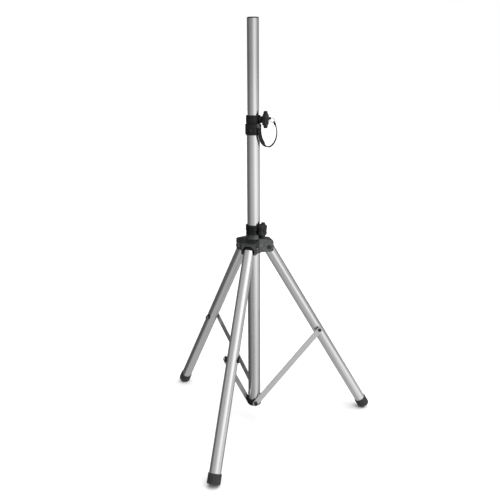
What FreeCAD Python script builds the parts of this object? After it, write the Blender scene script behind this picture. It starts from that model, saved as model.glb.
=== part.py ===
import FreeCAD, Part
import os
import math

V = FreeCAD.Vector

# Tripod stand for a loudspeaker. Millimetres, +Z up. The origin is on the floor,
# on the axis of the upright tube. The stand is opened out and its pole is partly raised.
# Each leg is drawn in its own plane, with X outward from the upright, and is then turned
# to its direction. Clockwise (seen from above) is -Y in that plane.

# ---- driving dimensions -------------------------------------------------------------
LEG_DIRECTIONS = {1: -90.0, 2: 30.0, 3: 150.0}  # degrees about Z
RUN = 0.08               # radial play of a running fit
M8_R = 4.0
M6_R = 3.0
M5_R = 2.5
RIVET_R = 2.4

# the telescopic pole
POLE_R = 17.5            # standard 35 mm loudspeaker pole
POLE_WALL = 2.0
POLE_TOP = 1290.0
POLE_BOTTOM = 380.0
POLE_HOLE_R = 3.3        # cross holes for the safety pin
POLE_HOLE_PITCH = 120.0
POLE_HOLES = 5

# the fixed upright tube
TUBE_R = 20.0
TUBE_WALL = 1.8
TUBE_TOP = 985.0
TUBE_BOTTOM = 80.5
LOWER_RIVET_Z = 96.0
UPPER_RIVET_Z = 971.0

# the legs
LEG_R = 17.5
LEG_WALL = 1.5
LEG_ANGLE = 30.27        # from the vertical, opened out
LEG_CUT = 6.0            # the leg's tube starts this far below its pivot
LUG_R = 11.5             # rounded end of the plug in the leg's top
FOOT_R = 19.9
FOOT_LENGTH = 30.0
FOOT_EDGE = 3.0          # rounding of the foot's lower edge
FOOT_DIP = 1.0           # how much of the foot's lowest edge is worn flat

# the hub that slides on the upright tube
HUB_PIVOT_R = 45.2       # the legs' pivots, from the upright's axis
HUB_PIVOT_Z = 608.2
HUB_PLAY = 2.0           # radial play of the hub on the tube, taken up while folding
HUB_TOP = 678.6
ARM_HALF = 22.7
ARM_BOTTOM = 592.5
ARM_END = 59.5
ARM_TOP = 636.0           # the arms' tops slope down from the barrel
ARM_END_TOP = 630.5
POCKET_PLAY = 0.7        # room round the leg in its fork
ARCH_R = 20.2            # the open end of each arm, arched over the leg
ARCH_Z = 602.3
ARCH_START = 51.5
BUSH_R = 24.6
BUSH_TOP = 628.0

# the braces and the lower collar
BRACE_ON_LEG = 342.0     # from the hub pivot to the brace's bolt, along the leg
COLLAR_PIVOT_R = -1.0    # the braces' lower pivots
COLLAR_PIVOT_Z = 69.5
BRACE_WIDTH = 20.0
BRACE_THICK = 2.5
BRACE_SIDE = 22.0        # the bar's inner face, from the leg's plane
EYE_PLAY = 3.35          # radial play of the lower eyes of braces 2 and 3
SIDE_PLAY = 1.75         # play of those eyes along their bolts
PUCK_R = 22.5
PUCK_BOTTOM = 58.0
EAR_HALF = 9.5
NUT_WASHER_OUT = LEG_R + 3.6

# the upper collar, with its clamp and safety pin
COLLAR_BOTTOM = 956.7
COLLAR_SPLIT = 989.5
COLLAR_TOP = 1015.5
COLLAR_R = 24.5
COLLAR_NECK_R = 22.2
POLE_BORE = POLE_R + 0.4
COLLAR_BOSS_END = 26.8
COLLAR_INSERT = (22.0, 26.6)
PIN_DIR = 60.0
PIN_Z = 1003.0
PIN_R = 3.0
PIN_TIP = 18.3           # withdrawn tip, from the pole's axis
PIN_HEAD = 61.0
PIN_EYE = 70.5
GROOVE_Z = COLLAR_TOP + 1.7  # a shallow ring in the pole, just above the collar
GROOVE_DEPTH = 0.35

# the clamp knobs
COLLAR_KNOB_DIR = 3.0
COLLAR_KNOB_Z = 1002.4
COLLAR_RIM = (32.7, 43.5)
COLLAR_PAD_END = 20.6
HUB_KNOB_DIR = -7.0
HUB_KNOB_Z = 663.0
HUB_RIM = (26.0, 36.5)
HUB_BOSS_END = 25.6
HUB_PAD_END = 22.4
HUB_PAD_SEAT = 23.8
PAD_R = 5.6
PAD_GAP = 0.6
PAD_FLATTER = 4.5        # the pad's face is this much larger in radius than the shaft
KNOB_R = 25.5
KNOB_CORE_R = 21.0
KNOB_LOBES = 6
LOBE_R = 7.5
SCREW_SHORT = 3.0        # the screw ends this far inside the knob's outer face

# the pin's strap, its clip, its sleeve and its ring
STRAP_DIR = -33.0        # where the strap is fastened to the collar
STRAP_TUBE_R = 2.5       # the strap's stand-in section
STRAP_HOLE_Z = 984.0
STRAP_FLAT = COLLAR_R - 0.6
RING_R = 9.0
RING_WIRE = 0.8
EYE_R = 1.5

# the strap's route, from its clip on the collar to its sleeve at the ring
STRAP_ROUTE = [
    (24.2, -15.7, 979.0),
    (24.6, -15.6, 966.0),
    (25.6, -11.5, 951.0),
    (29.0, -1.5, 935.0),
    (35.5, 12.5, 923.5),
    (43.5, 29.0, 919.5),
    (50.5, 44.5, 926.0),
    (55.5, 57.0, 940.0),
    (56.8, 65.0, 956.5),
    (54.3, 68.8, 971.0),
    (50.8, 69.3, 981.0),
]
SLEEVE_TOP = (46.2, 67.8, 991.5)


# ---- helpers ------------------------------------------------------------------------
def rod(radius, start, end):
    """A cylinder between two points."""
    start, end = V(*start), V(*end)
    axis = end - start
    return Part.makeCylinder(radius, axis.Length, start, axis)


def pipe(outer, inner, start, end):
    return rod(outer, start, end).cut(rod(inner, start, end))


def prism(points, direction):
    """A face through the points, pushed along a direction."""
    wire = Part.makePolygon([V(*p) for p in points] + [V(*points[0])])
    return Part.Face(wire).extrude(V(*direction))


def turned(profile):
    """A body turned about Z from (radius, height) points."""
    wire = Part.makePolygon([V(r, 0, z) for r, z in profile + profile[:1]])
    return Part.Face(wire).revolve(V(0, 0, 0), V(0, 0, 1), 360)


def fused(shapes):
    first, *rest = shapes
    return first.multiFuse(rest).removeSplitter() if rest else first


def hexagon(across_flats, start, end):
    """A hexagonal bar between two points."""
    start, end = V(*start), V(*end)
    axis = end - start
    corner = across_flats / math.sqrt(3)
    ring = [
        V(corner * math.cos(math.radians(60 * i)), corner * math.sin(math.radians(60 * i)), 0)
        for i in range(7)
    ]
    bar = Part.Face(Part.makePolygon(ring)).extrude(V(0, 0, axis.Length))
    bar.Placement = FreeCAD.Placement(start, FreeCAD.Rotation(V(0, 0, 1), axis))
    return bar


def rounded(shape, radius, wanted):
    """Round the edges that a test accepts."""
    edges = [e for e in shape.Edges if wanted(e.BoundBox)]
    return shape.makeFillet(radius, edges)


def facing(shape, direction):
    """Turn a shape drawn along +X to a direction about Z."""
    turned_shape = shape.copy()
    turned_shape.rotate(V(0, 0, 0), V(0, 0, 1), direction)
    return turned_shape


def on_leg(shape, number, angle=LEG_ANGLE):
    """Carry a shape drawn along -Z from the origin to a leg's place."""
    placed = shape.copy()
    placed.rotate(V(0, 0, 0), V(0, 1, 0), -angle)
    placed.translate(V(HUB_PIVOT_R, 0, HUB_PIVOT_Z))
    return facing(placed, LEG_DIRECTIONS[number])


def save(name, shape):
    solids = shape.Solids
    group = solids[0] if len(solids) == 1 else Part.makeCompound(solids)
    print(f"{name:24s} solids {len(solids)} volume {group.Volume:10.0f} valid {group.isValid()}")
    group.exportStep(f"parts/{name}.step")


# ---- worked out from the driving dimensions -----------------------------------------
SIN, COS = math.sin(math.radians(LEG_ANGLE)), math.cos(math.radians(LEG_ANGLE))
LEG_END = (                # from the hub pivot to the foot's end
    HUB_PIVOT_Z + FOOT_DIP - FOOT_EDGE - (FOOT_R - FOOT_EDGE) * SIN
) / COS + FOOT_EDGE
BRACE_TOP_R = HUB_PIVOT_R + BRACE_ON_LEG * SIN
BRACE_TOP_Z = HUB_PIVOT_Z - BRACE_ON_LEG * COS
BRACE_LENGTH = math.hypot(BRACE_TOP_R - COLLAR_PIVOT_R, BRACE_TOP_Z - COLLAR_PIVOT_Z)
BRACE_ANGLE = math.degrees(
    math.atan2(BRACE_TOP_R - COLLAR_PIVOT_R, BRACE_TOP_Z - COLLAR_PIVOT_Z)
)
BRACE_OUT = BRACE_SIDE + BRACE_THICK
HUB_BORE = TUBE_R + HUB_PLAY
POCKET_R = LEG_R + POCKET_PLAY
TUBE_END = LEG_END - 5.5  # the leg's tube, from its pivot to its end inside the foot
SPACER_OUT = BRACE_SIDE - RUN


# ---- upright tube and its lower collar ----------------------------------------------
def main_tube():
    tube = pipe(TUBE_R, TUBE_R - TUBE_WALL, (0, 0, TUBE_BOTTOM), (0, 0, TUBE_TOP))
    holes = [
        rod(RIVET_R, (-30, 0, LOWER_RIVET_Z), (30, 0, LOWER_RIVET_Z)),
        rod(RIVET_R, (0, -30, UPPER_RIVET_Z), (0, 30, UPPER_RIVET_Z)),
    ]
    return tube.cut(fused(holes))


def side_play(number):
    """Brace 1 carries the folding chain, so its lower eye has none."""
    return 0 if number == 1 else SIDE_PLAY


def collar_face(number):
    """From a leg's plane to the collar's flat beside the brace's eye."""
    return BRACE_SIDE - RUN - side_play(number)


def collar_ear(number):
    """A flat ear beside the tube, with its face against the brace's eye."""
    left, right = COLLAR_PIVOT_R - EAR_HALF, COLLAR_PIVOT_R + EAR_HALF
    ear = prism([
        (left, 0, 60), (right, 0, 60), (right, 0, 79), (right - 4, 0, 86),
        (left + 4, 0, 86), (left, 0, 79),
    ], (0, -collar_face(number), 0))
    ear = ear.cut(rod(TUBE_R, (0, 0, TUBE_BOTTOM), (0, 0, 95)))
    return facing(ear, LEG_DIRECTIONS[number])


def collar_flat(number):
    """What is cut from the round collar so that the brace can swing past it."""
    depth = collar_face(number)
    slab = Part.makeBox(60, 10, 40, V(-30, -depth - 10, PUCK_BOTTOM - 5))
    return facing(slab, LEG_DIRECTIONS[number])


def lower_collar():
    """A plug in the tube's end, with an ear and a flat for each brace."""
    inner = TUBE_R - TUBE_WALL
    body = turned([
        (0, PUCK_BOTTOM), (PUCK_R - 3, PUCK_BOTTOM), (PUCK_R, PUCK_BOTTOM + 3),
        (PUCK_R, TUBE_BOTTOM), (inner, TUBE_BOTTOM), (inner, 110), (inner - 2, 112),
        (13.5, 112), (13.5, 84), (0, 84),
    ])
    screw_hole = rod(
        M5_R, (COLLAR_PIVOT_R, -8, COLLAR_PIVOT_Z), (COLLAR_PIVOT_R, -30, COLLAR_PIVOT_Z)
    )
    ears = [collar_ear(number) for number in LEG_DIRECTIONS]
    cuts = [collar_flat(number) for number in LEG_DIRECTIONS]
    cuts += [facing(screw_hole, d) for d in LEG_DIRECTIONS.values()]
    cuts.append(rod(RIVET_R, (-30, 0, LOWER_RIVET_Z), (30, 0, LOWER_RIVET_Z)))
    return fused([body] + ears).cut(fused(cuts))


def round_head_bolt(radius, head_r, head_h, start, end, socket):
    """A bolt along Y whose domed head lies beyond its end point."""
    x, y, z = end
    step = -1 if y < start[1] else 1
    outer = y + step * head_h
    shank = rod(radius, start, end)
    head = rod(head_r, end, (x, outer, z))
    head = rounded(head, 1.4, lambda b: abs(b.YMin - outer) < 0.01 and abs(b.YMax - outer) < 0.01)
    recess = hexagon(socket, (x, outer - step * 2.0, z), (x, outer + step, z))
    return fused([shank, head]).cut(recess)


def collar_bolts():
    """The braces' lower bolts. Their wide heads cover the loose eyes of braces 2 and 3."""
    bolts = []
    for number, direction in LEG_DIRECTIONS.items():
        under_head = BRACE_OUT + RUN + side_play(number)
        bolts.append(facing(round_head_bolt(
            M5_R, 6.9, 3.2, (COLLAR_PIVOT_R, -8.5, COLLAR_PIVOT_Z),
            (COLLAR_PIVOT_R, -under_head, COLLAR_PIVOT_Z), 4.0,
        ), direction))
    return Part.makeCompound(bolts)


def rivets(z, across, outer):
    """Two pop rivets on opposite sides of the upright."""
    rivet = fused([
        rod(RIVET_R, (TUBE_R - TUBE_WALL - 0.05, 0, z), (outer, 0, z)),
        rounded(
            rod(4.2, (outer, 0, z), (outer + 1.3, 0, z)), 0.9,
            lambda b: b.XMin > outer + 1.29,
        ),
    ])
    return Part.makeCompound([facing(rivet, across), facing(rivet, across + 180)])


# ---- upper collar with its clamp and safety pin -------------------------------------
def upper_collar():
    body = turned([
        (TUBE_R, COLLAR_BOTTOM), (COLLAR_R - 2.5, COLLAR_BOTTOM), (COLLAR_R, COLLAR_BOTTOM + 3.5),
        (COLLAR_R, COLLAR_SPLIT - 1), (COLLAR_R - 1, COLLAR_SPLIT), (21.4, COLLAR_SPLIT),
        (21.4, COLLAR_SPLIT + 2.5), (COLLAR_NECK_R, COLLAR_SPLIT + 3.3),
        (COLLAR_NECK_R, COLLAR_TOP - 1.2), (COLLAR_NECK_R - 1.2, COLLAR_TOP),
        (POLE_BORE + 0.8, COLLAR_TOP), (POLE_BORE, COLLAR_TOP - 0.8), (POLE_BORE, TUBE_TOP),
        (TUBE_R, TUBE_TOP),
    ])
    flute = rod(1.6, (COLLAR_R + 0.7, 0, 963.5), (COLLAR_R + 0.7, 0, 978))
    flutes = [facing(flute, 15 + 30 * i) for i in range(12) if i not in (2, 5, 8, 10, 11)]
    clamp_boss = facing(
        rod(10.4, (POLE_BORE - 0.3, 0, COLLAR_KNOB_Z), (COLLAR_BOSS_END, 0, COLLAR_KNOB_Z)),
        COLLAR_KNOB_DIR,
    )
    pin_boss = facing(rod(6.5, (POLE_BORE - 0.3, 0, PIN_Z), (26, 0, PIN_Z)), PIN_DIR)
    pad_pocket = facing(
        rod(PAD_R + 0.3, (10, 0, COLLAR_KNOB_Z), (COLLAR_INSERT[0], 0, COLLAR_KNOB_Z)),
        COLLAR_KNOB_DIR,
    )
    insert_hole = facing(
        rod(6.0, (COLLAR_INSERT[0], 0, COLLAR_KNOB_Z), (30, 0, COLLAR_KNOB_Z)),
        COLLAR_KNOB_DIR,
    )
    pin_hole = facing(rod(PIN_R + RUN, (10, 0, PIN_Z), (30, 0, PIN_Z)), PIN_DIR)
    strap_hole = facing(rod(1.5, (21, 0, STRAP_HOLE_Z), (30, 0, STRAP_HOLE_Z)), STRAP_DIR)
    strap_flat = facing(
        Part.makeBox(3, 13, 14, V(COLLAR_R - 0.6, -6.5, STRAP_HOLE_Z - 6.5)), STRAP_DIR
    )
    bore = fused([
        rod(POLE_BORE, (0, 0, TUBE_TOP), (0, 0, COLLAR_TOP)),
        rod(TUBE_R, (0, 0, COLLAR_BOTTOM), (0, 0, TUBE_TOP)),
    ])
    rivet_hole = rod(RIVET_R, (0, -30, UPPER_RIVET_Z), (0, 30, UPPER_RIVET_Z))
    whole = fused([body, clamp_boss, pin_boss])
    cuts = [bore, pad_pocket, insert_hole, pin_hole, strap_hole, strap_flat, rivet_hole]
    return whole.cut(fused(cuts + flutes))


def collar_insert():
    start, end = COLLAR_INSERT
    insert = pipe(6.0, M8_R + RUN, (start, 0, COLLAR_KNOB_Z), (end, 0, COLLAR_KNOB_Z))
    return facing(insert, COLLAR_KNOB_DIR)


def clamp_pad(end, height, direction, shaft_r):
    """A nylon disc that the screw presses on a round shaft."""
    pad = rod(PAD_R, (shaft_r - 5, 0, height), (end, 0, height))
    x = PAD_GAP - PAD_FLATTER
    shaft = rod(shaft_r + PAD_FLATTER, (x, 0, height - 20), (x, 0, height + 20))
    return facing(pad.cut(shaft), direction)


def clamp_screw(start, end, height, direction):
    return facing(rod(M8_R, (start, 0, height), (end, 0, height)), direction)


def lobed_knob(rim, neck_start, height, direction, turn):
    """A six-lobed knob along X. A neck is added where it stands off its boss."""
    rim_start, rim_end = rim
    core = rod(KNOB_CORE_R, (rim_start, 0, 0), (rim_end, 0, 0))
    lobes = []
    for i in range(KNOB_LOBES):
        a = math.radians(turn + i * 360 / KNOB_LOBES)
        y, z = (KNOB_R - LOBE_R) * math.cos(a), (KNOB_R - LOBE_R) * math.sin(a)
        lobes.append(rod(LOBE_R, (rim_start, y, z), (rim_end, y, z)))
    knob = fused([core] + lobes)
    knob = rounded(
        knob, 1.8, lambda b: b.XMin > rim_end - 0.01 or b.XMax < rim_start + 0.01
    )
    dish = Part.makeSphere(40, V(rim_end + 40 - 2.2, 0, 0))
    button = Part.makeSphere(14, V(rim_end - 12.6, 0, 0)).common(
        rod(7, (rim_end - 4, 0, 0), (rim_end + 4, 0, 0))
    )
    knob = knob.cut(dish).fuse(button)
    if neck_start < rim_start:
        neck = Part.makeCone(
            9.5, 14.0, rim_start - neck_start + 0.5, V(neck_start, 0, 0), V(1, 0, 0)
        )
        knob = knob.fuse(neck)
    knob = knob.cut(rod(M8_R, (neck_start - 1, 0, 0), (rim_end - SCREW_SHORT, 0, 0)))
    knob = knob.removeSplitter()
    knob.translate(V(0, 0, height))
    return facing(knob, direction)


def strap_clip():
    """A folded steel tab that holds the strap's end on the collar."""
    plate = Part.makeBox(1.2, 11, 12, V(STRAP_FLAT, -5.5, STRAP_HOLE_Z - 5))
    tongue = Part.makeBox(6.2, 11, 1.2, V(STRAP_FLAT, -5.5, STRAP_HOLE_Z - 5))
    clip = fused([plate, tongue]).cut(rod(1.5, (20, 0, STRAP_HOLE_Z), (40, 0, STRAP_HOLE_Z)))
    return facing(clip, STRAP_DIR)


def strap_screw():
    screw = fused([
        rod(1.5, (21.6, 0, STRAP_HOLE_Z), (STRAP_FLAT + 1.2, 0, STRAP_HOLE_Z)),
        rod(3.0, (STRAP_FLAT + 1.2, 0, STRAP_HOLE_Z), (STRAP_FLAT + 3.0, 0, STRAP_HOLE_Z)),
    ])
    return facing(screw, STRAP_DIR)


def strap_tube():
    """Straight runs joined by tangent arcs, each as large as its two runs allow."""
    points = [V(*p) for p in STRAP_ROUTE]
    edges, here, radii = [], points[0], []
    length = 0.0
    for before, corner, after in zip(points, points[1:], points[2:]):
        a, b = (before - corner), (after - corner)
        run_a, run_b = a.Length, b.Length
        a.normalize()
        b.normalize()
        turn = math.pi - a.getAngle(b)
        back = 0.45 * min(run_a, run_b)
        radius = back / math.tan(turn / 2)
        start, end = corner + a * back, corner + b * back
        middle = a + b
        middle.normalize()
        tip = corner + middle * (radius / math.cos(turn / 2) - radius)
        edges.append(Part.LineSegment(here, start).toShape())
        edges.append(Part.Arc(start, tip, end).toShape())
        length += (start - here).Length + radius * turn
        here = end
        radii.append(round(radius, 1))
    edges.append(Part.LineSegment(here, points[-1]).toShape())
    length += (points[-1] - here).Length
    path = Part.Wire(edges)
    heading = points[1] - points[0]
    section = Part.Wire(Part.makeCircle(STRAP_TUBE_R, points[0], heading))
    tube = path.makePipeShell([section], True, True)
    print("strap radii", radii, "length", round(length, 1),
          "volume ratio", round(tube.Volume / (math.pi * STRAP_TUBE_R ** 2 * length), 4))
    return tube


def ring_axes():
    """The ring's long direction, from pin to sleeve, and its cross direction."""
    pin = V(math.cos(math.radians(PIN_DIR)), math.sin(math.radians(PIN_DIR)), 0)
    along = V(*SLEEVE_TOP) - V(pin.x * PIN_EYE, pin.y * PIN_EYE, PIN_Z)
    along.normalize()
    across = along.cross(pin)
    across.normalize()
    return along, across


def ring_middle():
    """Centre of the ring, whose wire runs through the middle of the pin's eye."""
    along, across = ring_axes()
    pin = V(math.cos(math.radians(PIN_DIR)), math.sin(math.radians(PIN_DIR)), 0)
    return V(pin.x * PIN_EYE, pin.y * PIN_EYE, PIN_Z) + along * RING_R


def pin_ring():
    along, across = ring_axes()
    return Part.makeTorus(RING_R, RING_WIRE, ring_middle(), along.cross(across))


def safety_pin():
    shank = rod(PIN_R, (PIN_TIP + 1.5, 0, PIN_Z), (PIN_HEAD + 4, 0, PIN_Z))
    tip = Part.makeCone(1.8, PIN_R, 1.5, V(PIN_TIP, 0, PIN_Z), V(1, 0, 0))
    return facing(fused([shank, tip]), PIN_DIR)


def pin_head():
    """A moulded grip with a flat eye for the ring."""
    grip = rounded(
        rod(4.6, (PIN_HEAD, 0, 0), (PIN_HEAD + 6.5, 0, 0)), 1.0,
        lambda b: b.XMax - b.XMin < 0.01,
    )
    eye = fused([
        rod(4.0, (PIN_EYE, 0, -1.5), (PIN_EYE, 0, 1.5)),
        Part.makeBox(PIN_EYE - PIN_HEAD - 5, 8, 3, V(PIN_HEAD + 5, -4, -1.5)),
    ])
    head = fused([grip, eye]).cut(rod(EYE_R, (PIN_EYE, 0, -5), (PIN_EYE, 0, 5)))
    head = head.cut(rod(PIN_R, (PIN_HEAD - 1, 0, 0), (PIN_HEAD + 4, 0, 0)))
    head = facing(head, PIN_DIR)
    along, across = ring_axes()
    upright = V(0, 0, 1)
    pin = V(math.cos(math.radians(PIN_DIR)), math.sin(math.radians(PIN_DIR)), 0)
    lean = math.degrees(math.atan2(pin.dot(upright.cross(across)), upright.dot(across)))
    head.rotate(V(0, 0, 0), pin, lean)
    head.translate(V(0, 0, PIN_Z))
    return head


def strap_sleeve():
    """A crimped sleeve on the strap's end, with an eye for the ring."""
    along, across = ring_axes()
    eye = ring_middle() + along * RING_R
    start = V(*STRAP_ROUTE[-1])
    body = rod(3.4, start + (eye - start) * 0.2, start + (eye - start) * 0.72)
    tab = rod(3.2, eye - across * 1.4, eye + across * 1.4)
    link = rod(1.4, start + (eye - start) * 0.6, eye - (eye - start) * 0.22)
    hole = rod(EYE_R, eye - across * 5, eye + across * 5)
    return fused([body, tab, link]).cut(hole)


# ---- telescopic pole ----------------------------------------------------------------
def pole_tube():
    tube = pipe(POLE_R, POLE_R - POLE_WALL, (0, 0, POLE_BOTTOM), (0, 0, POLE_TOP))
    holes = [
        rod(POLE_HOLE_R, (-30, 0, PIN_Z - i * POLE_HOLE_PITCH), (30, 0, PIN_Z - i * POLE_HOLE_PITCH))
        for i in range(POLE_HOLES)
    ]
    groove = pipe(POLE_R + 1, POLE_R - GROOVE_DEPTH, (0, 0, GROOVE_Z - 0.7), (0, 0, GROOVE_Z + 0.7))
    return tube.cut(facing(fused(holes), PIN_DIR)).cut(groove)


def pole_cap():
    inner = POLE_R - POLE_WALL
    return turned([
        (0, POLE_TOP + 3.4), (POLE_R - 1.6, POLE_TOP + 3.4), (POLE_R - 0.5, POLE_TOP + 2.9),
        (POLE_R, POLE_TOP + 1.8), (POLE_R, POLE_TOP), (inner, POLE_TOP), (inner, POLE_TOP - 16),
        (inner - 1, POLE_TOP - 18), (inner - 2.5, POLE_TOP - 18), (inner - 2.5, POLE_TOP),
        (0, POLE_TOP),
    ])


def pole_guide():
    """A nylon bush that slides in the upright and lets the pole turn on its stem."""
    slide_r = TUBE_R - TUBE_WALL - RUN
    stem_r = POLE_R - POLE_WALL - RUN
    return turned([
        (12.5, POLE_BOTTOM - 21), (slide_r - 1.5, POLE_BOTTOM - 21), (slide_r, POLE_BOTTOM - 19.5),
        (slide_r, POLE_BOTTOM - 0.1), (stem_r, POLE_BOTTOM - 0.1), (stem_r, POLE_BOTTOM + 22),
        (stem_r - 1, POLE_BOTTOM + 24), (12.5, POLE_BOTTOM + 24),
    ])


# ---- hub ----------------------------------------------------------------------------
def hub_arm():
    """One forked arm, drawn along X, whose top slopes down to its end."""
    arm = prism([
        (0, -ARM_HALF, ARM_BOTTOM), (ARM_END, -ARM_HALF, ARM_BOTTOM),
        (ARM_END, -ARM_HALF, ARM_END_TOP), (22, -ARM_HALF, ARM_TOP), (0, -ARM_HALF, ARM_TOP),
    ], (0, 2 * ARM_HALF, 0))
    end_corner = ARM_END - 0.01
    arm = rounded(arm, 8.0, lambda b: b.XMin > end_corner and b.ZMax < ARM_BOTTOM + 0.01)
    arm = rounded(arm, 7.0, lambda b: b.XMin > end_corner and b.ZMin > ARM_END_TOP - 0.1)
    arm = rounded(arm, 2.0, lambda b: b.ZMin > ARM_END_TOP - 9 and b.XMin > 20)
    return arm


def arm_arch():
    """What is cut from an arm's end to leave an arch over the leg."""
    length = ARM_END + 10 - ARCH_START
    arch = rod(ARCH_R, (ARCH_START, 0, ARCH_Z), (ARCH_START + length, 0, ARCH_Z))
    below = Part.makeBox(length, 2 * ARCH_R, 30, V(ARCH_START, -ARCH_R, ARCH_Z - 30))
    return fused([arch, below])


def leg_pocket():
    """The room that a leg's top sweeps, from opened out to folded."""
    steps = 5
    sweep = []
    for i in range(steps):
        angle = LEG_ANGLE * i / (steps - 1)
        tube = rod(POCKET_R, (0, 0, -(LEG_CUT - 0.6)), (0, 0, -60))
        lug = Part.makeBox(2 * LUG_R + 1, 2 * POCKET_R, 20, V(-LUG_R - 0.5, -POCKET_R, -20))
        for shape in (tube, lug):
            shape.rotate(V(0, 0, 0), V(0, 1, 0), -angle)
            sweep.append(shape)
    sweep.append(rod(LUG_R + 0.5, (0, -POCKET_R, 0), (0, POCKET_R, 0)))
    room = fused(sweep)
    room.translate(V(HUB_PIVOT_R, 0, HUB_PIVOT_Z))
    return room


def hub_casting():
    arms = [facing(hub_arm(), d) for d in LEG_DIRECTIONS.values()]
    barrel = turned([
        (0, 625), (26.0, 625), (26.0, 636.5), (24.2, 641), (24.2, 660), (23.4, 660.6),
        (23.4, 662.8), (25.4, 663.4), (25.4, 667.6), (24.6, 668.4), (24.6, 672.6),
        (25.4, 673.4), (25.4, HUB_TOP - 1), (24.4, HUB_TOP), (0, HUB_TOP),
    ])
    boss = facing(rod(11.5, (0, 0, HUB_KNOB_Z), (HUB_BOSS_END, 0, HUB_KNOB_Z)), HUB_KNOB_DIR)
    boss = boss.cut(rod(60, (0, 0, HUB_TOP), (0, 0, HUB_TOP + 20)))
    body = fused(arms + [barrel, boss])
    bore = rod(HUB_BORE, (0, 0, 580), (0, 0, HUB_TOP + 1))
    mouth = Part.makeCone(HUB_BORE, HUB_BORE + 1.2, 1.21, V(0, 0, HUB_TOP - 1.2), V(0, 0, 1))
    bush_seat = rod(BUSH_R, (0, 0, 580), (0, 0, BUSH_TOP))
    pad_pocket = facing(
        rod(PAD_R + 0.3, (10, 0, HUB_KNOB_Z), (HUB_PAD_SEAT, 0, HUB_KNOB_Z)), HUB_KNOB_DIR
    )
    screw_hole = facing(
        rod(M8_R + RUN, (10, 0, HUB_KNOB_Z), (40, 0, HUB_KNOB_Z)), HUB_KNOB_DIR
    )
    bolt_hole = rod(
        M8_R, (HUB_PIVOT_R, -40, HUB_PIVOT_Z), (HUB_PIVOT_R, 40, HUB_PIVOT_Z)
    )
    cuts = [bore, mouth, bush_seat, pad_pocket, screw_hole]
    for d in LEG_DIRECTIONS.values():
        cuts += [facing(leg_pocket(), d), facing(arm_arch(), d), facing(bolt_hole, d)]
    for cut in cuts:
        body = body.cut(cut)
    return body


def hub_bush():
    """A nylon guide pressed into the hub from below."""
    return turned([
        (HUB_BORE, ARM_BOTTOM - 1.6), (BUSH_R + 1.4, ARM_BOTTOM - 1.6), (BUSH_R + 1.4, ARM_BOTTOM),
        (BUSH_R, ARM_BOTTOM), (BUSH_R, BUSH_TOP), (HUB_BORE, BUSH_TOP),
    ])


def hub_pivot_bolts():
    bolt = round_head_bolt(
        M8_R, 6.4, 4.2, (HUB_PIVOT_R, ARM_HALF + 8.6, HUB_PIVOT_Z),
        (HUB_PIVOT_R, -ARM_HALF, HUB_PIVOT_Z), 5.0,
    )
    return Part.makeCompound([facing(bolt, d) for d in LEG_DIRECTIONS.values()])


def hub_pivot_nuts():
    y = ARM_HALF
    nut = hexagon(13.0, (HUB_PIVOT_R, y, HUB_PIVOT_Z), (HUB_PIVOT_R, y + 7.0, HUB_PIVOT_Z))
    nut = nut.cut(rod(M8_R, (HUB_PIVOT_R, y - 1, HUB_PIVOT_Z), (HUB_PIVOT_R, y + 8, HUB_PIVOT_Z)))
    return Part.makeCompound([facing(nut, d) for d in LEG_DIRECTIONS.values()])


# ---- legs ---------------------------------------------------------------------------
def leg_tube():
    tube = pipe(LEG_R, LEG_R - LEG_WALL, (0, 0, -LEG_CUT), (0, 0, -TUBE_END))
    return tube.cut(rod(M6_R, (0, -30, -BRACE_ON_LEG), (0, 30, -BRACE_ON_LEG)))


def leg_top_lug():
    """A cast plug in the leg's top end, rounded about the pivot."""
    half = POCKET_R - 1.0
    round_end = rod(LUG_R, (0, -half, 0), (0, half, 0))
    block = Part.makeBox(2 * LUG_R, 2 * half, LEG_CUT, V(-LUG_R, -half, -LEG_CUT))
    head = fused([round_end, block]).common(rod(LEG_R, (0, 0, -LEG_CUT), (0, 0, 30)))
    stem = rod(LEG_R - LEG_WALL, (0, 0, -LEG_CUT), (0, 0, -34))
    return fused([head, stem]).cut(rod(M8_R + RUN, (0, -30, 0), (0, 30, 0)))


def foot():
    """A plain rubber cap, worn flat where it meets the floor."""
    cap = rod(FOOT_R, (0, 0, -(LEG_END - FOOT_LENGTH)), (0, 0, -LEG_END))
    low = -LEG_END + 0.01
    cap = rounded(cap, FOOT_EDGE, lambda b: b.ZMax < low)
    high = -(LEG_END - FOOT_LENGTH) - 0.01
    cap = rounded(cap, 1.2, lambda b: b.ZMin > high)
    return cap.cut(rod(LEG_R, (0, 0, -(LEG_END - FOOT_LENGTH) + 1), (0, 0, -TUBE_END)))


def brace_spacer():
    """A black spacer with a saddle face between the leg and the brace."""
    spacer = rod(8.6, (0, -10, -BRACE_ON_LEG), (0, -SPACER_OUT, -BRACE_ON_LEG))
    spacer = spacer.cut(rod(LEG_R, (0, 0, -BRACE_ON_LEG + 30), (0, 0, -BRACE_ON_LEG - 30)))
    return spacer.cut(rod(M6_R, (0, -5, -BRACE_ON_LEG), (0, -30, -BRACE_ON_LEG)))


def nut_saddle():
    """The drop-shaped saddle washer under the brace bolt's nut."""
    z = -BRACE_ON_LEG
    drop = fused([
        rod(7.6, (0, 10, z), (0, NUT_WASHER_OUT, z)),
        prism([(-7.0, 10, z + 3), (7.0, 10, z + 3), (2.0, 10, z + 13), (-2.0, 10, z + 13)],
              (0, NUT_WASHER_OUT - 10, 0)),
    ])
    drop = drop.cut(rod(LEG_R, (0, 0, z + 30), (0, 0, z - 30)))
    return drop.cut(rod(M6_R, (0, 5, z), (0, 30, z)))


def brace_bolt():
    return round_head_bolt(
        M6_R, 5.6, 3.2, (0, NUT_WASHER_OUT + 6.4, -BRACE_ON_LEG),
        (0, -(BRACE_OUT + RUN), -BRACE_ON_LEG), 4.0,
    )


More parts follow.
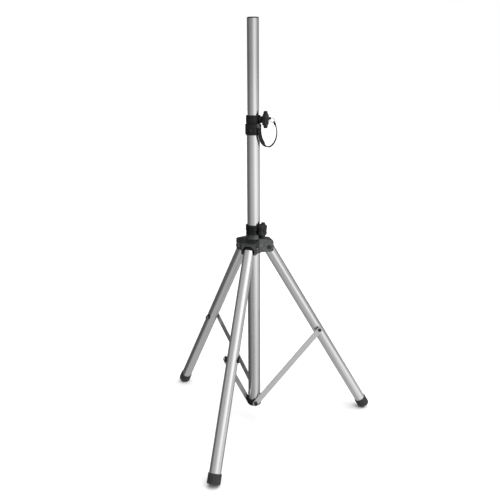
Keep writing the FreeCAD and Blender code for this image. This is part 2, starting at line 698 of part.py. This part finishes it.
def brace_nut():
    z = -BRACE_ON_LEG
    nut = hexagon(10.0, (0, NUT_WASHER_OUT, z), (0, NUT_WASHER_OUT + 5.0, z))
    return nut.cut(rod(M6_R, (0, 10, z), (0, 40, z)))


# ---- braces -------------------------------------------------------------------------
def brace(number, lower_eye_r):
    """A flat bar with rounded ends, drawn up along Z from its lower eye."""
    half = BRACE_WIDTH / 2
    near = -BRACE_SIDE
    bar = fused([
        Part.makeBox(BRACE_WIDTH, BRACE_THICK, BRACE_LENGTH, V(-half, near - BRACE_THICK, 0)),
        rod(half, (0, near, 0), (0, -BRACE_OUT, 0)),
        rod(half, (0, near, BRACE_LENGTH), (0, -BRACE_OUT, BRACE_LENGTH)),
    ])
    bar = rounded(bar, 0.6, lambda b: b.YMax - b.YMin < 0.01)
    bar = bar.cut(rod(lower_eye_r, (0, -10, 0), (0, -40, 0)))
    bar = bar.cut(rod(M6_R + RUN, (0, -10, BRACE_LENGTH), (0, -40, BRACE_LENGTH)))
    bar.rotate(V(0, 0, 0), V(0, 1, 0), BRACE_ANGLE)
    bar.translate(V(COLLAR_PIVOT_R, 0, COLLAR_PIVOT_Z))
    return facing(bar, LEG_DIRECTIONS[number])


# ---- write every piece --------------------------------------------------------------
os.makedirs("parts", exist_ok=True)

save("main_tube", main_tube())
save("lower_collar", lower_collar())
save("lower_collar_rivets", rivets(LOWER_RIVET_Z, 0, TUBE_R))
save("collar_bolts", collar_bolts())
save("upper_collar", upper_collar())
save("upper_collar_rivets", rivets(UPPER_RIVET_Z, 90, COLLAR_R))
save("collar_insert", collar_insert())
save("collar_clamp_pad", clamp_pad(COLLAR_PAD_END, COLLAR_KNOB_Z, COLLAR_KNOB_DIR, POLE_R))
save("collar_clamp_screw", clamp_screw(
    COLLAR_PAD_END, COLLAR_RIM[1] - SCREW_SHORT, COLLAR_KNOB_Z, COLLAR_KNOB_DIR
))
save("collar_clamp_knob", lobed_knob(
    COLLAR_RIM, COLLAR_BOSS_END + 0.4, COLLAR_KNOB_Z, COLLAR_KNOB_DIR, 90
))
save("strap_clip", strap_clip())
save("strap_screw", strap_screw())
save("strap", strap_tube())
save("strap_sleeve", strap_sleeve())
save("pin_ring", pin_ring())
save("safety_pin", safety_pin())
save("pin_head", pin_head())
save("pole_tube", pole_tube())
save("pole_cap", pole_cap())
save("pole_guide", pole_guide())
save("hub_casting", hub_casting())
save("hub_bush", hub_bush())
save("hub_pivot_bolts", hub_pivot_bolts())
save("hub_pivot_nuts", hub_pivot_nuts())
save("hub_clamp_pad", clamp_pad(HUB_PAD_END, HUB_KNOB_Z, HUB_KNOB_DIR, TUBE_R))
save("hub_clamp_screw", clamp_screw(
    HUB_PAD_END, HUB_RIM[1] - SCREW_SHORT, HUB_KNOB_Z, HUB_KNOB_DIR
))
save("hub_clamp_knob", lobed_knob(HUB_RIM, HUB_RIM[0], HUB_KNOB_Z, HUB_KNOB_DIR, 22))

floor = Part.makeBox(2000, 2000, 50, V(-1000, -1000, -50))
for number in LEG_DIRECTIONS:
    save(f"leg_tube_{number}", on_leg(leg_tube(), number))
    save(f"leg_top_lug_{number}", on_leg(leg_top_lug(), number))
    save(f"foot_{number}", on_leg(foot(), number).cut(floor))
    save(f"brace_spacer_{number}", on_leg(brace_spacer(), number))
    save(f"nut_saddle_{number}", on_leg(nut_saddle(), number))
    save(f"brace_bolt_{number}", on_leg(brace_bolt(), number))
    save(f"brace_nut_{number}", on_leg(brace_nut(), number))
    lower_eye = M5_R + (RUN if number == 1 else EYE_PLAY)
    save(f"brace_{number}", brace(number, lower_eye))

print("leg end", round(LEG_END, 2), "brace length", round(BRACE_LENGTH, 3),
      "brace angle", round(BRACE_ANGLE, 3), "brace top", round(BRACE_TOP_R, 3),
      round(BRACE_TOP_Z, 3))
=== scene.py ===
import math

import bmesh
import bpy
from mathutils import Matrix, Vector


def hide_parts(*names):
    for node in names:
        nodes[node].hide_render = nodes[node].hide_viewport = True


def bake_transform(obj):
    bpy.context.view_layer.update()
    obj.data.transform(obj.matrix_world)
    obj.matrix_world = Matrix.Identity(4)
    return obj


# Folding loudspeaker stand. Metres, in the CAD model's frame.

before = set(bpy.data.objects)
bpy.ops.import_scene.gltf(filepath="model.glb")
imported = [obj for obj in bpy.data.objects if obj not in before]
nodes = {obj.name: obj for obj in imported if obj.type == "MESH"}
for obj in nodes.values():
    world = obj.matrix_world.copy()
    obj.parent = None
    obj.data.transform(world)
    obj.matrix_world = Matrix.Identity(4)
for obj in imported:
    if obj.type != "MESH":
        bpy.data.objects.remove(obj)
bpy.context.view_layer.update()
scene = bpy.context.scene


def place(obj):
    scene.collection.objects.link(obj)
    return obj


def new_mesh(name, bm, material, smooth=True):
    mesh = bpy.data.meshes.new(name)
    bm.to_mesh(mesh)
    bm.free()
    for face in mesh.polygons:
        face.use_smooth = smooth
    mesh.materials.append(material)
    return place(bpy.data.objects.new(name, mesh))


# ---- camera -------------------------------------------------------------------------
LENS = 46.2                                # mm
SENSOR = 36.0                              # mm
CAMERA_PLACE = (0.5835, -1.8784, 1.1243)
CAMERA_ANGLES = (74.96, 0.31, 17.52)       # degrees: up from straight down, roll, turn about Z

camera_data = bpy.data.cameras.new("camera")
camera_data.lens = LENS
camera_data.sensor_width = SENSOR
camera_data.clip_end = 100.0
camera = place(bpy.data.objects.new("camera", camera_data))
camera.location = CAMERA_PLACE
camera.rotation_euler = [math.radians(angle) for angle in CAMERA_ANGLES]
scene.camera = camera


# ---- material helpers ---------------------------------------------------------------
NOISE_RANGE = (0.3, 0.7)


class Look:
    """A Principled material and short ways to add nodes to it."""

    def __init__(self, name, colour, metallic=0.0, roughness=0.5, **sockets):
        self.material = bpy.data.materials.new(name)
        self.material.use_nodes = True
        self.tree = self.material.node_tree
        self.shader = self.tree.nodes["Principled BSDF"]
        self.set(self.shader, "Base Color", (*colour, 1))
        self.set(self.shader, "Metallic", metallic)
        self.set(self.shader, "Roughness", roughness)
        for key, value in sockets.items():
            self.set(self.shader, key.replace("_", " "), value)

    def set(self, node, socket, value):
        """A constant goes on the socket, and an output is linked to it."""
        if isinstance(value, bpy.types.NodeSocket):
            self.tree.links.new(value, node.inputs[socket])
        else:
            node.inputs[socket].default_value = value

    def node(self, kind, output=0, **sockets):
        made = self.tree.nodes.new(kind)
        for key, value in sockets.items():
            self.set(made, key.replace("_", " "), value)
        return made.outputs[output]

    def place(self, stretch=(1, 1, 1), turn=(0, 0, 0)):
        """Object coordinates in metres, turned so that Z runs along the piece."""
        at = self.node("ShaderNodeTexCoord", "Object")
        turned = self.node("ShaderNodeMapping", Vector=at, Rotation=turn)
        return self.node("ShaderNodeMapping", Vector=turned, Scale=stretch)

    def noise(self, vector, scale, detail=3.0, roughness=0.5):
        return self.node(
            "ShaderNodeTexNoise", Vector=vector, Scale=scale, Detail=detail, Roughness=roughness
        )

    def height(self):
        """Height in metres above the floor, with the stand at rest."""
        return self.node("ShaderNodeSeparateXYZ", 2, Vector=self.place())

    def ramp(self, value, low, high, start=0.0, end=1.0):
        """Maps a value from start..end to low..high."""
        return self.node(
            "ShaderNodeMapRange", Value=value, From_Min=start, From_Max=end, To_Min=low, To_Max=high
        )

    def spread(self, noise, low, high):
        """Maps a noise, most of which lies within NOISE_RANGE, to low..high."""
        return self.ramp(noise, low, high, *NOISE_RANGE)

    def maths(self, operation, a, b=0.0):
        made = self.tree.nodes.new("ShaderNodeMath")
        made.operation = operation
        self.set(made, 0, a)
        self.set(made, 1, b)
        return made.outputs[0]

    def mix(self, factor, a, b):
        made = self.tree.nodes.new("ShaderNodeMix")
        made.data_type = "RGBA"
        self.set(made, 0, factor)
        self.set(made, 6, a)
        self.set(made, 7, b)
        return made.outputs[2]

    def bump(self, *layers):
        """Bump layers of (height, strength, distance in metres), one on another."""
        normal = None
        for height, strength, distance in layers:
            sockets = {"Height": height, "Strength": strength, "Distance": distance}
            if normal is not None:
                sockets["Normal"] = normal
            normal = self.node("ShaderNodeBump", **sockets)
        self.set(self.shader, "Normal", normal)

    def wear(self, start, end):
        """Rises from 0 to 1 as the surface's pointiness goes from start to end, on convex edges."""
        point = self.node("ShaderNodeNewGeometry", "Pointiness")
        return self.ramp(point, 0.0, 1.0, start, end)


def grey(value, warm=0.0):
    return (value * (1 + warm), value, value * (1 - warm), 1)


def satin_aluminium(name, turn):
    """Satin anodised tube: fine lines along it, faint clouding and a few handling scuffs."""
    look = Look(name, (0.8, 0.8, 0.8), metallic=1.0, roughness=0.3)
    lines = look.noise(look.place((1, 1, 0.012), turn), scale=2600, detail=2.0, roughness=0.6)
    broad = look.noise(look.place((1, 1, 0.03), turn), scale=240, detail=2.0, roughness=0.5)
    cloud = look.noise(look.place((1, 1, 0.35), turn), scale=16, detail=4.0, roughness=0.6)
    grain = look.noise(look.place(), scale=1500, detail=2.0, roughness=0.6)
    scuff = look.noise(look.place((1, 1, 0.5), turn), scale=85, detail=6.0, roughness=0.75)
    scuffed = look.ramp(scuff, 0.0, 1.0, start=0.63, end=0.72)
    tone = look.spread(lines, 0.0, 0.35)
    tone = look.maths("ADD", tone, look.ramp(cloud, 0.0, 0.5, start=0.35, end=0.65))
    look.set(look.shader, "Base Color", look.mix(tone, grey(0.74), grey(0.83)))
    rough = look.maths("ADD", look.spread(lines, 0.17, 0.24), look.ramp(cloud, -0.02, 0.03))
    rough = look.maths("ADD", rough, look.ramp(scuffed, 0.0, 0.09))
    look.set(look.shader, "Roughness", rough)
    look.bump((lines, 0.22, 0.00006), (broad, 0.12, 0.0001), (grain, 0.10, 0.00004))
    return look.material


def brace_aluminium(name, turn):
    """Flat bar as rolled and tumbled: grain along it and small dull dents."""
    look = Look(name, (0.78, 0.78, 0.78), metallic=1.0, roughness=0.42)
    lines = look.noise(look.place((1, 1, 0.02), turn), scale=1500, detail=3.0, roughness=0.6)
    cloud = look.noise(look.place(), scale=55, detail=4.0, roughness=0.6)
    speck = look.noise(look.place(), scale=900, detail=2.0, roughness=0.7)
    tone = look.maths("ADD", look.spread(lines, 0.0, 0.5), look.spread(cloud, 0, 0.5))
    look.set(look.shader, "Base Color", look.mix(tone, grey(0.56), grey(0.68)))
    look.set(look.shader, "Roughness", look.spread(cloud, 0.36, 0.5))
    look.bump((lines, 0.3, 0.0001), (speck, 0.2, 0.00008))
    return look.material


def moulded_plastic(name, tone, roughness, grain=1800, grain_depth=0.00008):
    """Moulded plastic: spark-eroded grain, slight flow clouding, paler rubbed edges."""
    look = Look(name, (tone, tone, tone), roughness=roughness, Specular_IOR_Level=0.35)
    fine = look.noise(look.place(), scale=grain, detail=2.0, roughness=0.6)
    cloud = look.noise(look.place(), scale=70, detail=4.0, roughness=0.6)
    patchy = look.ramp(cloud, 0.1, 0.7, start=0.35, end=0.65)
    rubbed = look.maths("MULTIPLY", look.wear(0.54, 0.66), patchy)
    body = look.mix(look.spread(cloud, 0, 1), grey(tone * 0.8), grey(tone * 1.25))
    look.set(look.shader, "Base Color", look.mix(rubbed, body, grey(tone * 2.4)))
    look.set(look.shader, "Roughness", look.spread(fine, roughness - 0.07, roughness + 0.08))
    look.bump((fine, 0.5, grain_depth), (cloud, 0.15, 0.0003))
    return look.material


def hub_paint():
    """Dark grey satin enamel over a casting, blacker on its barrel, with rubbed edges."""
    barrel_from = 0.6480      # heights between which the paint turns blacker
    barrel_to = 0.6500
    dark_tone = (0.084, 0.090, 0.089, 1)
    light_tone = (0.112, 0.119, 0.117, 1)
    rubbed_tone = (0.20, 0.21, 0.21, 1)
    barrel_tone = (0.026, 0.028, 0.028, 1)
    look = Look("hub_paint", (0.08, 0.085, 0.083), metallic=0.9, roughness=0.32)
    peel = look.noise(look.place(), scale=620, detail=2.0, roughness=0.55)
    cast = look.noise(look.place(), scale=150, detail=3.0, roughness=0.6)
    cloud = look.noise(look.place(), scale=40, detail=4.0, roughness=0.65)
    patchy = look.ramp(cast, 0.0, 1.0, start=0.4, end=0.65)
    rubbed = look.maths("MULTIPLY", look.wear(0.53, 0.62), patchy)
    body = look.mix(look.spread(cloud, 0, 1), dark_tone, light_tone)
    body = look.mix(rubbed, body, rubbed_tone)
    barrel = look.ramp(look.height(), 0.0, 1.0, barrel_from, barrel_to)
    look.set(look.shader, "Base Color", look.mix(barrel, body, barrel_tone))
    look.set(look.shader, "Roughness", look.spread(peel, 0.19, 0.30))
    look.bump((cast, 0.25, 0.0004), (peel, 0.35, 0.00012))
    return look.material


def rubber():
    """Matte moulded rubber, dusty near the floor."""
    dust_top = 0.016
    dust_tone = (0.17, 0.155, 0.135, 1)
    look = Look("rubber", (0.03, 0.03, 0.03), roughness=0.75)
    fine = look.noise(look.place(), scale=1400, detail=3.0, roughness=0.6)
    cloud = look.noise(look.place(), scale=60, detail=4.0, roughness=0.65)
    low_down = look.ramp(look.height(), 0.75, 0.0, start=0.0, end=dust_top)
    dust = look.maths("MULTIPLY", low_down, look.ramp(cloud, 0, 1, start=0.35, end=0.7))
    body = look.mix(look.spread(cloud, 0, 1), grey(0.018), grey(0.030))
    look.set(look.shader, "Base Color", look.mix(dust, body, dust_tone))
    look.set(look.shader, "Roughness", look.spread(fine, 0.62, 0.82))
    look.bump((fine, 0.6, 0.00012), (cloud, 0.2, 0.0004))
    return look.material


def blackened_steel():
    """Black zinc plate, semi-gloss, with bright rubbed corners."""
    look = Look("blackened_steel", (0.02, 0.02, 0.02), metallic=0.3, roughness=0.36)
    fine = look.noise(look.place(), scale=2200, detail=3.0, roughness=0.6)
    cloud = look.noise(look.place(), scale=240, detail=4.0, roughness=0.6)
    patchy = look.ramp(cloud, 0, 1, start=0.35, end=0.6)
    rubbed = look.maths("MULTIPLY", look.wear(0.53, 0.62), patchy)
    body = look.mix(look.spread(cloud, 0, 1), grey(0.014), grey(0.026))
    look.set(look.shader, "Base Color", look.mix(rubbed, body, grey(0.20)))
    look.set(look.shader, "Roughness", look.spread(fine, 0.28, 0.44))
    look.bump((fine, 0.35, 0.00006))
    return look.material


def plated_steel(name, tone, roughness, warm=0.0):
    """Bright plate or turned metal with fine tool lines and dull spots."""
    look = Look(name, (tone, tone, tone), metallic=1.0, roughness=roughness)
    fine = look.noise(look.place(), scale=2600, detail=3.0, roughness=0.6)
    cloud = look.noise(look.place(), scale=300, detail=4.0, roughness=0.6)
    body = look.mix(look.spread(cloud, 0, 1), grey(tone * 0.86, warm), grey(tone * 1.08, warm))
    look.set(look.shader, "Base Color", body)
    look.set(look.shader, "Roughness", look.spread(cloud, roughness - 0.06, roughness + 0.1))
    look.bump((fine, 0.25, 0.00004))
    return look.material


def webbing():
    """Woven nylon tape: ribs across it and a herringbone of yarns, in the tape's own UVs."""
    yarn_pitch = 0.0011
    warp_yarns = 12
    herringbone_slant = 0.006
    look = Look(
        "webbing", (0.02, 0.02, 0.02), roughness=0.62, Specular_IOR_Level=0.25, Sheen_Weight=0.05,
        Sheen_Roughness=0.4,
    )
    at = look.node("ShaderNodeTexCoord", "UV")
    across = look.node("ShaderNodeSeparateXYZ", 0, Vector=at)
    along = look.node("ShaderNodeSeparateXYZ", 1, Vector=at)
    fold = look.maths("PINGPONG", across, 0.5)
    slant = look.maths("ADD", along, look.maths("MULTIPLY", fold, herringbone_slant))
    yarn = look.maths("SINE", look.maths("MULTIPLY", slant, 2 * math.pi / yarn_pitch))
    warp = look.maths("SINE", look.maths("MULTIPLY", across, 2 * math.pi * warp_yarns))
    cloth = look.ramp(look.maths("MULTIPLY", yarn, warp), 0, 1, -1, 1)
    fuzz = look.noise(look.place(), scale=2400, detail=3.0, roughness=0.7)
    height = look.maths("ADD", cloth, look.ramp(fuzz, 0, 0.3))
    look.set(look.shader, "Base Color", look.mix(height, grey(0.004), grey(0.014)))
    look.set(look.shader, "Roughness", look.ramp(height, 0.78, 0.55))
    look.bump((height, 0.7, 0.00025))
    return look.material


# ---- strap --------------------------------------------------------------------------
# The strap hangs in one loop, from its clip on the collar to the sleeve at the pin's ring.
STRAP_ROUTE = [
    (0.0242, -0.0157, 0.9790),
    (0.0246, -0.0156, 0.9660),
    (0.0256, -0.0115, 0.9510),
    (0.0290, -0.0015, 0.9350),
    (0.0355, 0.0125, 0.9235),
    (0.0435, 0.0290, 0.9195),
    (0.0505, 0.0445, 0.9260),
    (0.0555, 0.0570, 0.9400),
    (0.0568, 0.0650, 0.9565),
    (0.0543, 0.0688, 0.9710),
    (0.0508, 0.0693, 0.9810),
]
SLEEVE_MOUTH = (0.0496, 0.0689, 0.9838)
STRAP_WIDTH = 0.0135
STRAP_THICK = 0.0015
CLIP_SIDE = Vector((0.545, 0.839, 0))      # the way the tape's width lies at the clip
LINE_OF_SIGHT = Vector((-0.302, 0.953, -0.27))
SLEEVE_TWIST = Vector((0.22, 0.06, 0))     # at the sleeve the width lies this far off the line of sight
TURN_FROM = 0.22                           # shares of its length between which the tape twists
TURN_TO = 0.5
GATHER_FROM = 0.92                         # shares of its length between which it gathers
GATHER_TO = 0.98
GATHERED_WIDTH = 0.4                       # times its own width and thickness
GATHERED_THICK = 2.4
EDGE_AT = 0.96                             # share of the half width where the edge starts to thin
EDGE_THICK = 0.35                          # times the thickness


def smooth_line(name, points, fineness):
    """Points along the NURBS line that has these control points."""
    data = bpy.data.curves.new(name, "CURVE")
    data.dimensions = "3D"
    data.resolution_u = fineness
    spline = data.splines.new("NURBS")
    spline.points.add(len(points) - 1)
    for target, point in zip(spline.points, points):
        target.co = (*point, 1)
    spline.order_u = 3
    spline.use_endpoint_u = True
    curve = place(bpy.data.objects.new(name, data))
    graph = bpy.context.evaluated_depsgraph_get()
    mesh = bpy.data.meshes.new_from_object(curve.evaluated_get(graph))
    line = [v.co.copy() for v in mesh.vertices]
    bpy.data.objects.remove(curve)
    bpy.data.meshes.remove(mesh)
    return line


def smooth(share):
    """0 to 1 with a gentle start and end."""
    share = max(0.0, min(1.0, share))
    return share * share * (3 - 2 * share)


def tape(name, line, first_side, last_side, width, thick, material):
    """A flat tape whose width turns from one direction to another, gathered at its end."""
    steps = [0.0]
    for a, b in zip(line, line[1:]):
        steps.append(steps[-1] + (b - a).length)
    section = []
    for u in (-1.0, -EDGE_AT, -0.5, 0.0, 0.5, EDGE_AT, 1.0):
        section.append((u, 1.0 if abs(u) < 1 else EDGE_THICK))
    ring = section + [(u, -v) for u, v in reversed(section)]
    bm = bmesh.new()
    uv = bm.loops.layers.uv.new("UVMap")
    rows = []
    for i, here in enumerate(line):
        tangent = (line[min(i + 1, len(line) - 1)] - line[max(i - 1, 0)]).normalized()
        along = steps[i] / steps[-1]
        side = first_side.lerp(last_side, smooth((along - TURN_FROM) / (TURN_TO - TURN_FROM)))
        gathered = smooth((along - GATHER_FROM) / (GATHER_TO - GATHER_FROM))
        wide = width * (1 + (GATHERED_WIDTH - 1) * gathered)
        deep = thick * (1 + (GATHERED_THICK - 1) * gathered)
        side = (side - side.dot(tangent) * tangent).normalized()
        face = tangent.cross(side)
        rows.append([
            bm.verts.new(here + side * (u * wide / 2) + face * (v * deep / 2)) for u, v in ring
        ])
    for i, (low, high) in enumerate(zip(rows, rows[1:])):
        for j in range(len(ring)):
            k = (j + 1) % len(ring)
            quad = bm.faces.new((low[j], low[k], high[k], high[j]))
            ends = ((j, i), (k, i), (k, i + 1), (j, i + 1))
            for loop, (column, row) in zip(quad.loops, ends):
                loop[uv].uv = (ring[column][0] / 2 + 0.5, steps[row])
    bm.faces.new(list(reversed(rows[0])))
    bm.faces.new(rows[-1])
    bmesh.ops.recalc_face_normals(bm, faces=bm.faces)
    return new_mesh(name, bm, material)


strap_line = smooth_line("strap_line", STRAP_ROUTE + [SLEEVE_MOUTH], fineness=10)
strap = tape(
    "strap_tape", strap_line, CLIP_SIDE, LINE_OF_SIGHT.normalized() + SLEEVE_TWIST,
    STRAP_WIDTH, STRAP_THICK, webbing(),
)
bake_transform(strap)
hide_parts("strap")


# ---- materials of the CAD nodes -----------------------------------------------------
LEG_DIRECTIONS = {1: -90.0, 2: 30.0, 3: 150.0}      # degrees about Z
LEG_LEAN = 30.27                                    # degrees from upright
BRACE_LEAN = -41.93


def along_leg(direction, lean):
    """Mapping turn that brings a leg's line onto Z: undo its direction, then its lean."""
    undo = Matrix.Rotation(math.radians(lean), 3, "Y") @ Matrix.Rotation(
        math.radians(-direction), 3, "Z"
    )
    return tuple(undo.to_euler("XYZ"))


def paint(name, material):
    """Gives a CAD node its material."""
    for slot in nodes[name].material_slots:
        slot.link = "OBJECT"
        slot.material = material


upright_aluminium = satin_aluminium("satin_upright", (0, 0, 0))
black_plastic = moulded_plastic("black_plastic", 0.006, 0.44)
knob_plastic = moulded_plastic("knob_plastic", 0.009, 0.42, 1300, 0.00012)
nylon = moulded_plastic("nylon", 0.5, 0.5)
black_steel = blackened_steel()
zinc = plated_steel("zinc_steel", 0.66, 0.26)
brass = plated_steel("brass", 0.6, 0.3, warm=0.35)
rubber_look = rubber()
hub_look = hub_paint()

for name in ("main_tube", "pole_tube"):
    paint(name, upright_aluminium)
for name in ("lower_collar", "upper_collar", "pole_cap", "pin_head", "strap_sleeve", "hub_bush"):
    paint(name, black_plastic)
for name in ("collar_clamp_knob", "hub_clamp_knob"):
    paint(name, knob_plastic)
for name in ("collar_bolts", "hub_pivot_bolts", "hub_pivot_nuts", "lower_collar_rivets",
             "upper_collar_rivets", "strap_screw", "strap_clip", "pin_ring"):
    paint(name, black_steel)
for name in ("collar_clamp_screw", "hub_clamp_screw", "safety_pin"):
    paint(name, zinc)
for name in ("collar_clamp_pad", "hub_clamp_pad", "pole_guide"):
    paint(name, nylon)
paint("collar_insert", brass)
paint("hub_casting", hub_look)
for number, direction in LEG_DIRECTIONS.items():
    paint(f"leg_tube_{number}", satin_aluminium(f"satin_leg_{number}", along_leg(direction, LEG_LEAN)))
    paint(f"brace_{number}", brace_aluminium(f"brace_bar_{number}", along_leg(direction, BRACE_LEAN)))
    paint(f"foot_{number}", rubber_look)
    for part in ("brace_spacer", "nut_saddle", "leg_top_lug"):
        paint(f"{part}_{number}", black_plastic)
    for part in ("brace_bolt", "brace_nut"):
        paint(f"{part}_{number}", black_steel)


# ---- studio -------------------------------------------------------------------------
FLOOR_REACH = 20
CEILING_STRENGTH = 3.4
CEILING_SPREAD = 100       # degrees
CEILING_TILT = (-12, 14, 0)

floor_look = Look("floor", (0.86, 0.86, 0.86), roughness=0.9)
bm = bmesh.new()
bmesh.ops.create_grid(bm, x_segments=1, y_segments=1, size=FLOOR_REACH)
floor = new_mesh("floor", bm, floor_look.material, smooth=False)
floor.visible_glossy = False

CAMERA_SIDE = -72.7      # degrees about Z, from the stand towards the camera

# The studio's brightness by bearing from the camera's side, below, at and above the horizon, and
# what it is multiplied by at each height. Bearings and heights are in degrees.
LOW_ROUND = [
    (-180, 0.26), (-120, 0.12), (-92, 0.13), (-68, 0.27), (-47, 0.46), (-29, 0.58), (-11, 0.53),
    (7, 0.72), (25, 1.10), (45, 1.24), (64, 1.12), (87, 0.80), (114, 0.54), (147, 0.38), (180, 0.30),
]
LEVEL_ROUND = [
    (-180, 0.16), (-119, 0.11), (-87, 0.16), (-63, 0.27), (-40, 0.32), (-20, 0.38), (0, 0.62),
    (20, 1.04), (40, 1.10), (63, 0.64), (87, 0.42), (119, 0.33), (180, 0.16),
]
HIGH_ROUND = [
    (-180, 0.07), (-150, 0.09), (-125, 0.12), (-100, 0.22), (-72, 0.50), (-40, 0.38), (-15, 0.48),
    (5, 0.70), (25, 1.02), (45, 1.28), (68, 1.22), (88, 0.92), (105, 0.60), (130, 0.32), (180, 0.07),
]
BY_HEIGHT = [
    (-90, 1.4), (-50, 1.25), (-38, 0.95), (-30, 0.58), (-24, 0.64), (-18, 0.78), (-13, 0.94),
    (-8, 1.06), (-3, 1.12), (2, 0.92), (6, 0.74), (14, 1.0), (30, 1.25), (50, 1.2), (90, 0.5),
]
LOW_BY = 8.0             # this far below the horizon LOW_ROUND has taken over
HIGH_FROM = 3.0          # from here to HIGH_BY above it HIGH_ROUND takes over
HIGH_BY = 15.0
UNDER_FROM = 38.0        # from here to UNDER_BY below it the studio turns to one plain brightness
UNDER_BY = 54.0
UNDERNEATH = 0.46


def studio_world():
    """White beyond the floor, and a softly graded studio in what the metal reflects."""
    world = bpy.data.worlds.new("studio")
    world.use_nodes = True
    scene.world = world
    tree = world.node_tree
    tree.nodes.clear()
    new = tree.nodes.new
    link = tree.links.new

    def maths(operation, a, b=0.0, clamp=False):
        made = new("ShaderNodeMath")
        made.operation = operation
        made.use_clamp = clamp
        for socket, value in zip(made.inputs, (a, b)):
            if isinstance(value, bpy.types.NodeSocket):
                link(value, socket)
            else:
                socket.default_value = value
        return made.outputs[0]

    def graded(value, low, high, stops):
        """A smooth curve through (value, brightness) stops."""
        made = new("ShaderNodeValToRGB")
        made.color_ramp.interpolation = "B_SPLINE"
        share = maths("DIVIDE", maths("SUBTRACT", value, low), high - low, clamp=True)
        link(share, made.inputs[0])
        elements = made.color_ramp.elements
        while len(elements) < len(stops):
            elements.new(0.5)
        for element, (where, bright) in zip(elements, stops):
            element.position = (where - low) / (high - low)
            element.color = (bright / 2, bright / 2, bright / 2, 1)
        return maths("MULTIPLY", made.outputs[0], 2.0)

    at = new("ShaderNodeTexCoord").outputs["Generated"]
    split = new("ShaderNodeSeparateXYZ")
    link(at, split.inputs[0])
    x, y, z = split.outputs
    turn = math.radians(CAMERA_SIDE)
    ahead = maths("ADD", maths("MULTIPLY", x, math.cos(turn)), maths("MULTIPLY", y, math.sin(turn)))
    right = maths("ADD", maths("MULTIPLY", x, -math.sin(turn)), maths("MULTIPLY", y, math.cos(turn)))
    bearing = maths("DEGREES", maths("ARCTAN2", right, ahead))
    rise = maths("DEGREES", maths("ARCSINE", z))

    low_round = graded(bearing, -180, 180, LOW_ROUND)
    level_round = graded(bearing, -180, 180, LEVEL_ROUND)
    high_round = graded(bearing, -180, 180, HIGH_ROUND)
    drop = maths("MULTIPLY", rise, -1.0)
    lowness = maths("DIVIDE", drop, LOW_BY, clamp=True)
    highness = maths("DIVIDE", maths("SUBTRACT", rise, HIGH_FROM), HIGH_BY - HIGH_FROM, clamp=True)
    levelness = maths("SUBTRACT", maths("SUBTRACT", 1.0, lowness), highness)
    around = maths("ADD", maths("MULTIPLY", low_round, lowness),
                   maths("ADD", maths("MULTIPLY", level_round, levelness),
                         maths("MULTIPLY", high_round, highness)))
    around = maths("MULTIPLY", around, graded(rise, -90, 90, BY_HEIGHT))
    under = maths("DIVIDE", maths("SUBTRACT", drop, UNDER_FROM), UNDER_BY - UNDER_FROM, clamp=True)
    total = maths("ADD", maths("MULTIPLY", around, maths("SUBTRACT", 1.0, under)),
                  maths("MULTIPLY", under, UNDERNEATH))

    path = new("ShaderNodeLightPath")
    seen = new("ShaderNodeBackground")
    seen.inputs[0].default_value = (1, 1, 1, 1)
    lit = new("ShaderNodeBackground")
    lit.inputs[0].default_value = (1, 1, 1, 1)
    link(total, lit.inputs[1])
    mixed = new("ShaderNodeMixShader")
    link(path.outputs["Is Camera Ray"], mixed.inputs[0])
    link(lit.outputs[0], mixed.inputs[1])
    link(seen.outputs[0], mixed.inputs[2])
    output = new("ShaderNodeOutputWorld")
    link(mixed.outputs[0], output.inputs[0])


studio_world()

sun_data = bpy.data.lights.new("ceiling", "SUN")
sun_data.energy = CEILING_STRENGTH
sun_data.angle = math.radians(CEILING_SPREAD)
sun = place(bpy.data.objects.new("ceiling", sun_data))
sun.rotation_euler = [math.radians(angle) for angle in CEILING_TILT]
sun.visible_glossy = False

scene.view_settings.view_transform = "Standard"
